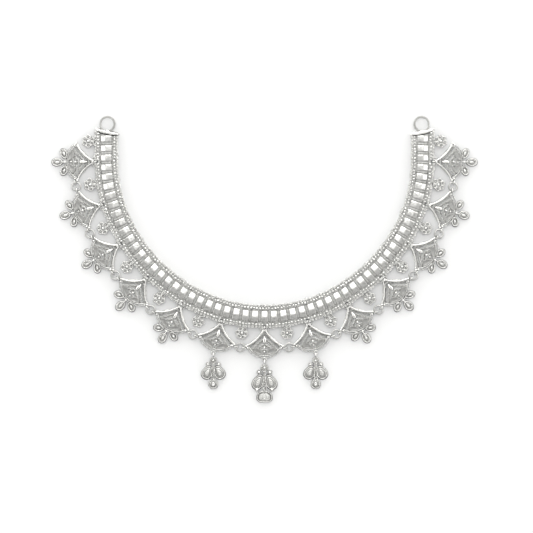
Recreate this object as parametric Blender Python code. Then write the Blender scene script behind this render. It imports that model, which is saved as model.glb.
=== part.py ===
"""Collar necklace of silver.

A rigid hoop carries a row of crowned tiles between two raised borders. Thirteen pierced fans swing
on pins in the hoop's outer border, flat rings link the fans' corners, ten fans carry a trefoil and
the three middle ones a drop. The necklace lies on the XY plane: +X is its right, +Y its open end.
Angles are measured about the hoop's centre from straight down, and "out" is the distance outwards
from the hoop's inner edge.
"""
import math

import bmesh
import bpy
from mathutils import Matrix, Vector

MM = 0.001

# Hoop
HOOP_RADIUS = 65.15 * MM            # inner edge, mean of its slightly sprung outline
HOOP_SPRING = 0.35 * MM             # how far the sides stand out and the diagonals draw in
BAND_WIDTH = 10.6 * MM
BAND_STEP = 7.5                     # degrees between two sections of the hoop
QUARTER_TURN = 90.0                 # past this angle the hoop runs straight up
TILE_LINE_RADIUS = 70.8 * MM        # the line through the middle of the tiles
STRAIGHT_END = 10.1 * MM            # length of the straight part at the inner edge
END_SLANT = 0.2                     # rise of the slanted ends per unit of width
FLOOR_HEIGHT = 1.1 * MM
BORDER_SHOULDER = 1.4 * MM
BORDER_HEIGHT = 2.1 * MM

# Tiles
TILES_PER_SIDE = 28
TILE_PITCH = 4.31 * MM
TILE_LENGTH = 2.9 * MM
TILE_SINK = 0.3 * MM

# Rosettes, soldered to the border between two fans and beside the end fans
ROSETTE_OUT = 13.4 * MM
ROSETTE_RADIUS = 3.0 * MM
ROSETTE_LOBES = 6
ROSETTE_HEIGHT = 0.9 * MM

# Pin joints: a pin across a notch in the outer border, and the fan's eye round it
PIN_OUT = 10.2 * MM
PIN_HEIGHT = 1.1 * MM
NOTCH_OUT = 9.0 * MM
NOTCH_WIDTH = 1.6 * MM
FINE_WIRE = 0.25 * MM               # radius of the wire of pins and eyes
EYE_RADIUS = 0.75 * MM
WIRE_SIDES = 5
EYE_SIDES = 10

# Fans, measured from the pin
FAN_STEP = 14.9                     # degrees
FANS_PER_SIDE = 6
FAN_APEX = 1.2 * MM
FAN_APEX_HALF = 0.45 * MM
FAN_CORNER_ACROSS = 8.15 * MM
FAN_CORNER_UP = 8.75 * MM
FAN_CORNER_CUT = 0.55 * MM          # the corner is blunt by this much along the arc
FAN_REACH = 13.6 * MM
FAN_BOW = 1.0 * MM                  # how far the sides bow inwards
FRAME_HALF_WIDTH = 0.4 * MM
FRAME_HEIGHT = 1.2 * MM
SHEET_HEIGHT = 0.6 * MM
SLOTS_PER_HALF = 3
SLOT_FIRST = 1.9 * MM               # first slot's distance from the side
SLOT_WIDTH = 1.15 * MM
SLOT_PITCH = 1.8 * MM
SLOT_MARGIN = 0.55 * MM             # half of the rib on the fan's axis
ARC_RIB = 1.6 * MM                  # from the outer arc to the slots

# Link rings and the eyes that they run through
LINK_RADIUS = 1.9 * MM
LINK_WIRE = 0.35 * MM
LINK_SIDES = 12
CORNER_EYE_RADIUS = 0.85 * MM
CORNER_EYE_ACROSS = 9.14 * MM
CORNER_EYE_UP = 9.15 * MM
ARC_EYE_RADIUS = 0.8 * MM

# Trefoils, measured from the pin
TREFOIL_FANS = range(2, FANS_PER_SIDE + 1)
TREFOIL_TIP = 19.9 * MM
TREFOIL_ROOT = 13.3 * MM
TREFOIL_HALF_WIDTH = 1.75 * MM
TREFOIL_SPREAD = 6.2 * MM
TREFOIL_SHOULDER = 14.9 * MM
TREFOIL_HEIGHT = 1.1 * MM

# End bars with their rings
BAR_INNER_OUT = -0.9 * MM
BAR_OUTER_OUT = 10.2 * MM
BAR_HALF_WIDTH = 0.9 * MM
BAR_GAP = 0.3 * MM
BAR_HEIGHT = 2.2 * MM
END_RING_ACROSS = 70.65 * MM        # from the middle of the necklace
END_RING_UP = 16.2 * MM             # above the hoop's centre
END_RING_RADIUS = 3.37 * MM
END_RING_WIRE = 0.38 * MM
END_RING_SIDES = 16

# Drops: what hangs on the spine, in millimetres from the bail; what lies off the axis is mirrored
DROP_COLUMNS = ("across", "down", "half_width", "half_height")
SIDE_DROP = (
    (0.0, 2.75, 1.9, 1.9),
    (2.4, 4.5, 1.2, 1.2),
    (2.75, 8.1, 2.8, 2.8),
    (0.0, 13.25, 2.4, 2.45),
)
CENTRE_DROP = (
    (0.0, 2.9, 2.0, 2.0),
    (2.4, 4.9, 1.35, 1.35),
    (2.95, 9.3, 2.9, 3.4),
    (3.4, 12.8, 1.1, 1.1),
    (0.0, 15.95, 3.6, 2.95),
)
SPINE_HALF_WIDTH = 0.9 * MM
SPINE_HEIGHT = 1.0 * MM
LOBE_HEIGHT = 2.2 * MM
LOBE_SHOULDER = 0.85                # size of the dome's shoulder, against its base
LOBE_SHOULDER_RISE = 0.7            # height of the shoulder, against the top
GRANULE_SIZE = 1.5                  # a lobe of a smaller half width is a granule
LOBE_SIDES = 10
GRANULE_SIDES = 8

REACH_UP = END_RING_UP + END_RING_RADIUS + END_RING_WIRE
REACH_DOWN = (HOOP_RADIUS + PIN_OUT + FAN_REACH + 2 * ARC_EYE_RADIUS
              + (CENTRE_DROP[-1][1] + CENTRE_DROP[-1][3]) * MM)
HOOP_CENTRE_Y = (REACH_DOWN - REACH_UP) / 2


def silver(name, shade, roughness):
    """A silver finish of the given grey and roughness."""
    material = bpy.data.materials.new(name)
    material.use_nodes = True
    shader = material.node_tree.nodes["Principled BSDF"]
    shader.inputs["Base Color"].default_value = (shade, shade, shade * 0.97, 1.0)
    shader.inputs["Metallic"].default_value = 1.0
    shader.inputs["Roughness"].default_value = roughness
    return material


def hoop_edge(angle):
    """Radius of the hoop's inner edge: sides sprung out, diagonals drawn in."""
    turn = math.radians(min(abs(angle), QUARTER_TURN))
    return HOOP_RADIUS - HOOP_SPRING * math.cos(2 * turn) + HOOP_SPRING * math.cos(4 * turn)


def station(angle):
    """Point on the inner edge at this angle, with the directions outwards and along the hoop."""
    turn = math.radians(max(-QUARTER_TURN, min(QUARTER_TURN, angle)))
    outwards = Vector((math.sin(turn), -math.cos(turn), 0))
    along = Vector((math.cos(turn), math.sin(turn), 0))
    point = outwards * hoop_edge(angle)
    past = math.radians(max(0.0, abs(angle) - QUARTER_TURN)) * TILE_LINE_RADIUS
    point.y += HOOP_CENTRE_Y + past
    return point, outwards, along


def placing(angle, out):
    """Matrix for a piece modelled with +Y outwards; its +X is towards smaller angles."""
    point, outwards, along = station(angle)
    turned = Matrix((-along, outwards, Vector((0, 0, 1)))).transposed()
    return Matrix.Translation(point + outwards * out) @ turned.to_4x4()


def to_mesh(name, shape):
    """Closes the bmesh into a mesh whose faces point outwards."""
    bmesh.ops.recalc_face_normals(shape, faces=shape.faces)
    mesh = bpy.data.meshes.new(name)
    shape.to_mesh(mesh)
    shape.free()
    return mesh


def sweep(stations, section, closed=False):
    """Runs a closed section along stations of (point, side, up) and caps the open ends."""
    shape = bmesh.new()
    rings = [[shape.verts.new(point + side * a + up * b) for a, b in section]
             for point, side, up in stations]
    count = len(section)
    pairs = list(zip(rings, rings[1:]))
    if closed:
        pairs.append((rings[-1], rings[0]))
    for one, two in pairs:
        for i in range(count):
            j = (i + 1) % count
            shape.faces.new((one[i], one[j], two[j], two[i]))
    if not closed:
        shape.faces.new(rings[0])
        shape.faces.new(rings[-1])
    return to_mesh("sweep", shape)


def wire_section(radius, sides=WIRE_SIDES):
    """A round wire's section as a regular polygon."""
    step = 2 * math.pi / sides
    return [(radius * math.cos(i * step), radius * math.sin(i * step)) for i in range(sides)]


def ring(centre, first, second, radius, wire, sides=EYE_SIDES):
    """A wire ring in the plane of two directions."""
    normal = first.cross(second).normalized()
    stations = []
    for i in range(sides):
        turn = 2 * math.pi * i / sides
        side = first * math.cos(turn) + second * math.sin(turn)
        stations.append((centre + side * radius, side, normal))
    return sweep(stations, wire_section(wire), closed=True)


def lobe(across, up, half_width, half_height, sides):
    """A flat-backed domed body round a point of the plane."""
    shape = bmesh.new()
    rows = []
    for share, height in ((1.0, 0), (LOBE_SHOULDER, LOBE_HEIGHT * LOBE_SHOULDER_RISE)):
        row = []
        for i in range(sides):
            turn = 2 * math.pi * (i + 0.5) / sides
            x = across + share * half_width * math.cos(turn)
            row.append(shape.verts.new((x, up + share * half_height * math.sin(turn), height)))
        rows.append(row)
    top = shape.verts.new((across, up, LOBE_HEIGHT))
    low, high = rows
    shape.faces.new(low)
    for i in range(sides):
        j = (i + 1) % sides
        shape.faces.new((low[i], low[j], high[j], high[i]))
        shape.faces.new((high[i], high[j], top))
    return to_mesh("lobe", shape)


def prism(outline, bottom, top):
    """Upright solid over a flat outline."""
    shape = bmesh.new()
    low = [shape.verts.new((x, y, bottom)) for x, y in outline]
    high = [shape.verts.new((x, y, top)) for x, y in outline]
    shape.faces.new(low)
    shape.faces.new(high)
    for i in range(len(outline)):
        j = (i + 1) % len(outline)
        shape.faces.new((low[i], low[j], high[j], high[i]))
    return to_mesh("prism", shape)


def add_object(name, mesh, material=None):
    """An object with its mesh, in the scene."""
    mesh.name = name
    if material:
        mesh.materials.clear()
        mesh.materials.append(material)
    item = bpy.data.objects.new(name, mesh)
    bpy.context.scene.collection.objects.link(item)
    return item


def joined(meshes):
    """Several separate bodies in one mesh, for one Boolean."""
    shape = bmesh.new()
    for mesh in meshes:
        shape.from_mesh(mesh)
        bpy.data.meshes.remove(mesh)
    result = bpy.data.meshes.new("joined")
    shape.to_mesh(result)
    shape.free()
    return result


def combine(base, tools, operation="UNION"):
    """Applies one Boolean after another to a mesh and returns the result."""
    body = add_object("body", base)
    for tool_mesh in tools:
        tool = add_object("tool", tool_mesh)
        modifier = body.modifiers.new("combine", "BOOLEAN")
        modifier.operation = operation
        modifier.solver = "EXACT"
        modifier.object = tool
        bpy.context.view_layer.update()
        evaluated = body.evaluated_get(bpy.context.evaluated_depsgraph_get())
        result = bpy.data.meshes.new_from_object(evaluated)
        body.modifiers.clear()
        body.data = result
        bpy.data.objects.remove(tool)
    result = body.data
    bpy.data.objects.remove(body)
    return result


def tidy(mesh):
    """Joins coplanar faces and drops stray short edges that the Booleans leave."""
    shape = bmesh.new()
    shape.from_mesh(mesh)
    bmesh.ops.remove_doubles(shape, verts=shape.verts, dist=0.002 * MM)
    bmesh.ops.dissolve_limit(shape, angle_limit=math.radians(0.5), verts=shape.verts,
                             edges=shape.edges, delimit={"NORMAL"})
    bmesh.ops.triangulate(shape, faces=shape.faces)
    shape.to_mesh(mesh)
    shape.free()
    return mesh


def band_section():
    """The hoop's section: a raised border on each side of the channel for the tiles."""
    width = BAND_WIDTH
    return [
        (0, 0), (width, 0),
        (width, BORDER_SHOULDER), (width - 0.7 * MM, BORDER_HEIGHT),
        (width - 1.9 * MM, BORDER_HEIGHT), (width - 2.6 * MM, FLOOR_HEIGHT),
        (2.4 * MM, FLOOR_HEIGHT), (1.7 * MM, BORDER_HEIGHT),
        (0.6 * MM, BORDER_HEIGHT), (0, BORDER_SHOULDER),
    ]


def band():
    """The hoop between its slanted ends, without tiles."""
    up = Vector((0, 0, 1))
    steps = round(QUARTER_TURN / BAND_STEP)
    stations = []
    for i in range(-steps, steps + 1):
        point, outwards, _ = station(i * BAND_STEP)
        stations.append((point, outwards, up))
    for end in (-1, 1):
        point, outwards, _ = station(end * QUARTER_TURN)
        last = (point + Vector((0, STRAIGHT_END, 0)), outwards + Vector((0, END_SLANT, 0)), up)
        stations.insert(0 if end < 0 else len(stations), last)
    return sweep(stations, band_section())


def tile(angle):
    """One crowned tile, standing a little in the channel's floor."""
    point, outwards, along = station(angle)
    low = FLOOR_HEIGHT - TILE_SINK
    section = [(2.6 * MM, low), (7.8 * MM, low), (7.8 * MM, 1.6 * MM), (6.4 * MM, 2.15 * MM),
               (4.0 * MM, 2.15 * MM), (2.6 * MM, 1.6 * MM)]
    up = Vector((0, 0, 1))
    ends = [(point + along * half, outwards, up) for half in (-TILE_LENGTH / 2, TILE_LENGTH / 2)]
    return sweep(ends, section)


def tiles():
    """The row of tiles, one pitch apart along the line through their middles."""
    pitch_angle = math.degrees(TILE_PITCH / TILE_LINE_RADIUS)
    return joined([tile(i * pitch_angle) for i in range(-TILES_PER_SIDE, TILES_PER_SIDE + 1)])


def fan_angles():
    """Angle of each fan's axis, by its number from the middle."""
    return {i: i * FAN_STEP for i in range(-FANS_PER_SIDE, FANS_PER_SIDE + 1)}


def rosette():
    """A lobed flower with a raised middle, modelled round its own centre."""
    shape = bmesh.new()
    count = 2 * ROSETTE_LOBES
    rows = []
    for height in (0, ROSETTE_HEIGHT):
        row = []
        for i in range(count):
            radius = ROSETTE_RADIUS * (1.0 if i % 2 else 0.8)
            turn = 2 * math.pi * i / count
            row.append(shape.verts.new((radius * math.cos(turn), radius * math.sin(turn), height)))
        rows.append(row)
    middle = shape.verts.new((0, 0, 2 * ROSETTE_HEIGHT))
    low, high = rows
    shape.faces.new(low)
    for i in range(count):
        j = (i + 1) % count
        shape.faces.new((low[i], low[j], high[j], high[i]))
        shape.faces.new((high[i], high[j], middle))
    return to_mesh("rosette", shape)


def moved(mesh, matrix):
    """The mesh, moved by a matrix."""
    mesh.transform(matrix)
    return mesh


def rosettes():
    """Fourteen rosettes, half a step from the fans, soldered to the border."""
    angles = [(i + 0.5) * FAN_STEP for i in range(-FANS_PER_SIDE - 1, FANS_PER_SIDE + 1)]
    return joined([moved(rosette(), placing(angle, ROSETTE_OUT)) for angle in angles])


def notch_and_pin():
    """The notch's cutter and the pin across it, modelled round the pin's middle."""
    half = NOTCH_WIDTH / 2
    inner = NOTCH_OUT - PIN_OUT
    outer = BAND_WIDTH - PIN_OUT + 0.6 * MM
    cutter = prism([(-half, inner), (half, inner), (half, outer), (-half, outer)],
                   -1.0 * MM, BORDER_HEIGHT + 1.0 * MM)
    out, up = Vector((0, 1, 0)), Vector((0, 0, 1))
    ends = [(Vector((x, 0, PIN_HEIGHT)), out, up) for x in (-half - 0.4 * MM, half + 0.4 * MM)]
    return cutter, sweep(ends, wire_section(FINE_WIRE))


def collar_band(material):
    """The hoop with its tiles, rosettes, notches and pins as one soldered body."""
    cutters, pins = [], []
    for angle in fan_angles().values():
        cutter, pin = notch_and_pin()
        matrix = placing(angle, PIN_OUT)
        cutters.append(moved(cutter, matrix))
        pins.append(moved(pin, matrix))
    body = combine(band(), [tiles(), rosettes()])
    body = combine(body, [joined(cutters)], "DIFFERENCE")
    body = combine(body, [joined(pins)])
    return add_object("collar_band", tidy(body), material)


def fan_side(share):
    """Point on the fan's right side, from its apex at 0 to its corner at 1."""
    start = Vector((FAN_APEX_HALF, FAN_APEX, 0))
    end = Vector((FAN_CORNER_ACROSS, FAN_CORNER_UP - FAN_CORNER_CUT, 0))
    chord = end - start
    inwards = Vector((-chord.y, chord.x, 0)).normalized()
    return start + chord * share + inwards * FAN_BOW * 4 * share * (1 - share)


def arc_radius():
    """Radius of the fan's outer arc, through its corners and its furthest point."""
    rise = FAN_REACH - FAN_CORNER_UP
    return (FAN_CORNER_ACROSS ** 2 + rise ** 2) / (2 * rise)


def arc_point(across, inset=0.0):
    """Point on the outer arc, or on a parallel arc this far inside it."""
    radius = arc_radius()
    return Vector((across, FAN_REACH - radius + math.sqrt((radius - inset) ** 2 - across ** 2), 0))


def fan_outline():
    """The fan's closed centre line: right side upwards, arc to the left, left side downwards."""
    right = [fan_side(share) for share in (0.0, 0.35, 0.7, 1.0)]
    arc = [arc_point(FAN_CORNER_ACROSS * share) for share in (1.0, 0.7, 0.36)]
    half = right + arc
    left = [Vector((-point.x, point.y, 0)) for point in reversed(half)]
    return half + [arc_point(0.0)] + left


def fan_frame():
    """The frame's tapered wire round the outline, mitred at each corner."""
    points = fan_outline()
    up = Vector((0, 0, 1))
    stations = []
    for i, point in enumerate(points):
        before = (point - points[i - 1]).normalized()
        after = (points[(i + 1) % len(points)] - point).normalized()
        side = (before + after).normalized().cross(up)
        side /= max(0.5, side.dot(after.cross(up)))
        stations.append((point, side, up))
    half = FRAME_HALF_WIDTH
    section = [(-half, 0), (half, 0), (half * 0.5, FRAME_HEIGHT), (-half * 0.5, FRAME_HEIGHT)]
    return sweep(stations, section, closed=True)


def slot_outline(number):
    """One slot of the right half: a strip parallel to the side, from the axis rib to the arc rib."""
    start, end = fan_side(0.0), fan_side(1.0)
    along = (end - start).normalized()
    inwards = Vector((-along.y, along.x, 0))
    points = []
    for edge in (0, 1):
        offset = SLOT_FIRST + number * SLOT_PITCH + edge * SLOT_WIDTH
        base = start + inwards * offset
        foot = base + along * max(0.0, (SLOT_MARGIN - base.x) / along.x)
        reach = arc_radius() - ARC_RIB
        middle = Vector((0, FAN_REACH - arc_radius(), 0))
        to_foot = foot - middle
        dot = to_foot.dot(along)
        length = -dot + math.sqrt(dot ** 2 - to_foot.length_squared + reach ** 2)
        ends = [foot, foot + along * length]
        points += ends if edge == 0 else reversed(ends)
    return [(point.x, point.y) for point in points]


def fan_sheet():
    """The pierced sheet inside the frame, its slots mirrored about the axis."""
    outline = [(point.x, point.y) for point in fan_outline()]
    cutters = []
    for number in range(SLOTS_PER_HALF):
        right = slot_outline(number)
        left = [(-x, y) for x, y in reversed(right)]
        cutters += [prism(right, -MM, 2 * MM), prism(left, -MM, 2 * MM)]
    return combine(prism(outline, 0, SHEET_HEIGHT), [joined(cutters)], "DIFFERENCE")


def leaf(root, tip, half_width, height):
    """A leaf-shaped petal from root to tip, in the plane of the fan."""
    axis = tip - root
    side = Vector((-axis.y, axis.x, 0)).normalized() * half_width
    outline = [root + axis * share + side * width
               for share, width in ((0.0, 0.4), (0.0, -0.4), (0.6, -1.0), (1.0, -0.3),
                                    (1.0, 0.3), (0.6, 1.0))]
    return prism([(point.x, point.y) for point in outline], 0.0, height)


def trefoil():
    """Three petals soldered to the outer arc."""
    root = Vector((0, TREFOIL_ROOT, 0))
    tips = [Vector((0, TREFOIL_TIP, 0))]
    tips += [Vector((end * TREFOIL_SPREAD, TREFOIL_SHOULDER, 0)) for end in (-1, 1)]
    height = TREFOIL_HEIGHT
    return [leaf(root, tip, TREFOIL_HALF_WIDTH, height - 0.1 * MM * i)
            for i, tip in enumerate(tips)]


def corner_eye(end):
    """The upright eye on the right or left corner, square to the link ring that runs through it."""
    turn = math.radians(FAN_STEP / 2)
    across = Vector((end * math.cos(turn), -math.sin(turn), 0))
    centre = Vector((end * CORNER_EYE_ACROSS, CORNER_EYE_UP, PIN_HEIGHT))
    return ring(centre, across, Vector((0, 0, 1)), CORNER_EYE_RADIUS, FINE_WIRE)


def pin_eye():
    """The upright eye that turns on the pin."""
    return ring(Vector((0, 0, PIN_HEIGHT)), Vector((0, 1, 0)), Vector((0, 0, 1)), EYE_RADIUS,
                FINE_WIRE)


def arc_eye():
    """The flat eye on the outer arc that carries a drop."""
    centre = Vector((0, FAN_REACH + ARC_EYE_RADIUS, PIN_HEIGHT))
    return ring(centre, Vector((1, 0, 0)), Vector((0, 1, 0)), ARC_EYE_RADIUS, FINE_WIRE)


def fan_mesh(kind):
    """A fan with its eyes (0 for both corners, or one corner's side) and a trefoil or a drop's eye."""
    tools = [fan_sheet(), pin_eye()]
    tools += [corner_eye(end) for end in (-1, 1) if kind["eyes"] in (0, end)]
    tools += trefoil() if kind["trefoil"] else [arc_eye()]
    return tidy(combine(fan_frame(), tools))


def link_mesh():
    """A flat round link ring."""
    return ring(Vector((0, 0, PIN_HEIGHT)), Vector((1, 0, 0)), Vector((0, 1, 0)), LINK_RADIUS,
                LINK_WIRE, LINK_SIDES)


def drop_mesh(rows):
    """A drop hanging along -Y from its bail, its lobes mirrored about its axis."""
    lobes = [dict(zip(DROP_COLUMNS, row)) for row in rows]
    half = SPINE_HALF_WIDTH
    top, bottom = -EYE_RADIUS, -lobes[-1]["down"] * MM
    parts = [prism([(-half, bottom), (half, bottom), (half, top), (-half, top)], 0, SPINE_HEIGHT)]
    for size in lobes:
        sides = GRANULE_SIDES if size["half_width"] < GRANULE_SIZE else LOBE_SIDES
        for end in ((-1, 1) if size["across"] else (1,)):
            parts.append(lobe(end * size["across"] * MM, -size["down"] * MM,
                              size["half_width"] * MM, size["half_height"] * MM, sides))
    bail = ring(Vector((0, 0, PIN_HEIGHT)), Vector((0, -1, 0)), Vector((0, 0, 1)), EYE_RADIUS,
                FINE_WIRE)
    return tidy(combine(bail, parts))


def end_bar(end, material):
    """The half-round bar over one end of the hoop, with its ring soldered on top."""
    point, outwards, _ = station(end * QUARTER_TURN)
    lift = Vector((0, STRAIGHT_END + BAR_GAP + BAR_HALF_WIDTH, 0))
    slanted = outwards + Vector((0, END_SLANT, 0))
    across = slanted.normalized().cross(Vector((0, 0, 1)))
    half = BAR_HALF_WIDTH
    section = [(-half, 0), (half, 0), (half, BAR_HEIGHT * 0.55), (half * 0.5, BAR_HEIGHT),
               (-half * 0.5, BAR_HEIGHT), (-half, BAR_HEIGHT * 0.55)]
    stations = [(point + lift + slanted * out, across, Vector((0, 0, 1)))
                for out in (BAR_INNER_OUT, BAR_OUTER_OUT)]
    centre = Vector((end * END_RING_ACROSS, HOOP_CENTRE_Y + END_RING_UP, PIN_HEIGHT))
    loop = ring(centre, Vector((1, 0, 0)), Vector((0, 1, 0)), END_RING_RADIUS, END_RING_WIRE,
                END_RING_SIDES)
    side = "left" if end < 0 else "right"
    return add_object(f"end_bar_{side}", tidy(combine(sweep(stations, section), [loop])), material)


def side_name(piece, number):
    """A piece's name from its number: negative to the left, 0 in the middle."""
    side = "middle" if number == 0 else "left" if number < 0 else "right"
    return f"{piece}_{side}" if number == 0 else f"{piece}_{side}_{abs(number)}"


def add_fans(material):
    """Thirteen fans on their pins; those of one kind share a mesh."""
    meshes = {}
    for number, angle in fan_angles().items():
        last = abs(number) == FANS_PER_SIDE
        kind = {"trefoil": abs(number) in TREFOIL_FANS,
                "eyes": (1 if number > 0 else -1) if last else 0}
        key = tuple(kind.values())
        if key not in meshes:
            meshes[key] = fan_mesh(kind)
        item = add_object(side_name("fan", number), meshes[key], material)
        item.matrix_world = placing(angle, PIN_OUT)


def add_links(material):
    """Twelve link rings, each midway between the two eyes that it runs through."""
    mesh = link_mesh()
    angles = fan_angles()
    for number in range(-FANS_PER_SIDE, FANS_PER_SIDE):
        eyes = [placing(angles[fan], PIN_OUT) @ Vector((end * CORNER_EYE_ACROSS, CORNER_EYE_UP, 0))
                for fan, end in ((number, -1), (number + 1, 1))]
        name = side_name("link_ring", number if number < 0 else number + 1)
        item = add_object(name, mesh, material)
        item.location = (eyes[0] + eyes[1]) / 2


def add_drops(material):
    """Three drops, each with its bail round the outer wire of a fan's flat eye."""
    side_mesh = drop_mesh(SIDE_DROP)
    for number in (-1, 0, 1):
        mesh = drop_mesh(CENTRE_DROP) if number == 0 else side_mesh
        item = add_object(side_name("drop", number), mesh, material)
        eye = placing(number * FAN_STEP, PIN_OUT) @ Vector((0, FAN_REACH + ARC_EYE_RADIUS, 0))
        item.location = eye + Vector((0, -ARC_EYE_RADIUS, 0))


def main():
    """Builds the necklace in an empty scene."""
    for item in list(bpy.data.objects):
        bpy.data.objects.remove(item)
    polished = silver("polished_silver", 0.82, 0.18)
    aged = silver("aged_silver", 0.60, 0.35)
    collar_band(aged)
    for end in (-1, 1):
        end_bar(end, polished)
    add_fans(aged)
    add_links(polished)
    add_drops(aged)


main()
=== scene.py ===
import math
import random

import bmesh
import bpy
from mathutils import Matrix, Vector


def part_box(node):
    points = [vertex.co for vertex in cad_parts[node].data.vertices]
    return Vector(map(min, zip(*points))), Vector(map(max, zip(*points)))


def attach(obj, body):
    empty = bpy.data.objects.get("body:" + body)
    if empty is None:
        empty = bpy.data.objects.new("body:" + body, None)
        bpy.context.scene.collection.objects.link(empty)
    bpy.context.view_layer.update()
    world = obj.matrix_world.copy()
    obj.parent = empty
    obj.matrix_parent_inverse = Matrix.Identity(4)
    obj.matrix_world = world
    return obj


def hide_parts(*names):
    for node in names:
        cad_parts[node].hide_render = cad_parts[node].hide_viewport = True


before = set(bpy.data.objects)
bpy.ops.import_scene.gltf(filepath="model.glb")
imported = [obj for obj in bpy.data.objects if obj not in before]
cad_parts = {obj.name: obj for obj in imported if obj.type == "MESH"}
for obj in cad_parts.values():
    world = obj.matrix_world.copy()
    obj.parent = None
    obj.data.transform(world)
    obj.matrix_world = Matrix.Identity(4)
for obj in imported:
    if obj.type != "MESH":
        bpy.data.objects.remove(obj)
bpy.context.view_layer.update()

# Silver collar necklace, laid flat: ridged tiles, granulated borders, filigree fans and drops.
# Everything is modelled in millimetres and turned into metres when a piece is finished.
mm = 0.001
up = Vector((0, 0, 1))
print("frame loaded,", len(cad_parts), "nodes")

hoop = {
    "edgeRadius": 65.15,
    "spring": 0.35,  # sides stand out, diagonals draw in
    "tileLine": 70.8,
    "straightEnd": 10.1,
    "endSlant": 0.2,
    "width": 10.6,
    "lineStep": 1.5,  # degrees between two points of a line along it
    "fanStep": 14.9,  # degrees between two fans
    "fansPerSide": 6,
    "pinOut": 10.2,
    "pinHeight": 1.1,
    "ringAboveCentre": 19.95,
}
hoop["centreY"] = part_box("end_bar_left")[1].y / mm - hoop["ringAboveCentre"]


# Nodes, for finishes, surroundings and Geometry Nodes alike

def addNode(tree, kind, links=None, **settings):
    # links: another node's output or a plain value for each input
    made = tree.nodes.new(kind)
    for key, value in settings.items():
        setattr(made, key, value)
    for socket, source in (links or {}).items():
        if isinstance(source, bpy.types.NodeSocket):
            tree.links.new(source, made.inputs[socket])
        else:
            made.inputs[socket].default_value = source
    return made


def calculated(tree, operation, one, two, **settings):
    return addNode(tree, "ShaderNodeMath", {0: one, 1: two}, operation=operation,
                   **settings).outputs[0]


def ranged(tree, value, low, high, toLow=0.0, toHigh=1.0, **settings):
    links = {"Value": value, "From Min": low, "From Max": high, "To Min": toLow, "To Max": toHigh}
    return addNode(tree, "ShaderNodeMapRange", links, **settings).outputs["Result"]


def socketOf(sockets, name, kind):
    return next(s for s in sockets if s.name == name and s.type == kind)


# Finishes

warmth = (1.0, 0.995, 0.965)
# the height range and the steep and level columns paint shade low down and on steep faces, and
# light on what is raised and level
finishColumns = ("dark", "bright", "darkBelow", "brightAbove", "steep", "level", "patchy",
                 "patchScale", "smooth", "rough", "bumpScale", "bumpDepth")
finishes = {
    "polished": (0.2, 0.89, -0.4, 0.7, 0.3, 0.8, 0.08, 260.0, 0.12, 0.22, 1400.0, 0.003),
    # hammered: its height range paints each tile darker lower down, painted shade on the tiles'
    # slopes
    "hammered": (0.35, 0.76, 1.0, 1.7, 0.3, 0.9, 0.35, 900.0, 0.08, 0.16, 1500.0, 0.014),
    # crest: dark on its flanks and bright only along the top, painted shade for dark edges
    "crest": (0.12, 0.96, -0.6, 0.5, 0.55, 0.95, 0.06, 300.0, 0.2, 0.3, 1800.0, 0.004),
    "worn": (0.26, 0.86, 0.2, 1.3, 0.25, 0.9, 0.3, 1100.0, 0.2, 0.34, 2200.0, 0.006),
    "filigree": (0.6, 0.98, -0.2, 0.5, 0.0, 0.7, 0.38, 1300.0, 0.26, 0.4, 2600.0, 0.01),
    "aged": (0.62, 0.84, 0.1, 1.3, 0.35, 0.95, 0.2, 900.0, 0.22, 0.36, 2200.0, 0.006),
    "oxidised": (0.38, 0.68, 0.8, 2.0, 0.2, 0.8, 0.4, 1100.0, 0.34, 0.5, 2000.0, 0.015),
    # painted shade: a dark finish for the lips, the dark lines inside rims and the dark link and
    # end rings
    "shadowed": (0.2, 0.64, 0.3, 1.6, 0.3, 0.9, 0.1, 700.0, 0.3, 0.45, 2000.0, 0.01),
}


def silverFinish(name, look):
    # painted shade: darker low down, as tarnish and as shade in the recesses, and darker on steep
    # sides, for dark edges; random patches of tarnish; what is raised and faces up is painted
    # bright
    material = bpy.data.materials.new(name)
    material.use_nodes = True
    tree = material.node_tree
    shader = tree.nodes["Principled BSDF"]
    shader.inputs["Metallic"].default_value = 1.0
    coordinates = addNode(tree, "ShaderNodeTexCoord").outputs
    place = coordinates["Object"]
    upwards = addNode(tree, "ShaderNodeSeparateXYZ", {"Vector": coordinates["Normal"]})
    height = addNode(tree, "ShaderNodeSeparateXYZ", {"Vector": place})
    patches, fine = (addNode(tree, "ShaderNodeTexNoise", {"Vector": place, "Scale": look[scale],
                                                          "Detail": detail}).outputs["Fac"]
                     for scale, detail in (("patchScale", 3.0), ("bumpScale", 2.0)))
    # darker low down: tarnish, and painted shade in the recesses
    rise = ranged(tree, height.outputs["Z"], look["darkBelow"] * mm, look["brightAbove"] * mm)
    spread = ranged(tree, patches, 0.35, 0.65, -look["patchy"], look["patchy"])
    # painted shade on steep sides, painted light on faces turned up
    level = ranged(tree, upwards.outputs["Z"], look["steep"], look["level"])
    raised = calculated(tree, "MULTIPLY", rise, level)
    paintedLightAndWear = calculated(tree, "ADD", raised, spread, use_clamp=True)
    colour = addNode(tree, "ShaderNodeMix", {"Factor": paintedLightAndWear}, data_type="RGBA")
    for socket, shade in (("A", look["dark"]), ("B", look["bright"])):
        tint = [shade * share for share in warmth]
        socketOf(colour.inputs, socket, "RGBA").default_value = (*tint, 1.0)
    tree.links.new(socketOf(colour.outputs, "Result", "RGBA"), shader.inputs["Base Color"])
    rough = ranged(tree, fine, 0.3, 0.7, look["smooth"], look["rough"])
    tree.links.new(rough, shader.inputs["Roughness"])
    bump = addNode(tree, "ShaderNodeBump", {"Height": fine, "Strength": 1.0,
                                            "Distance": look["bumpDepth"] * mm})
    tree.links.new(bump.outputs["Normal"], shader.inputs["Normal"])
    return material


silver = {name: silverFinish(name + " silver", dict(zip(finishColumns, row)))
          for name, row in finishes.items()}
print("finishes made:", ", ".join(silver))

# Geometry Nodes trees: shapes below are for a gauge of 1

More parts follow.
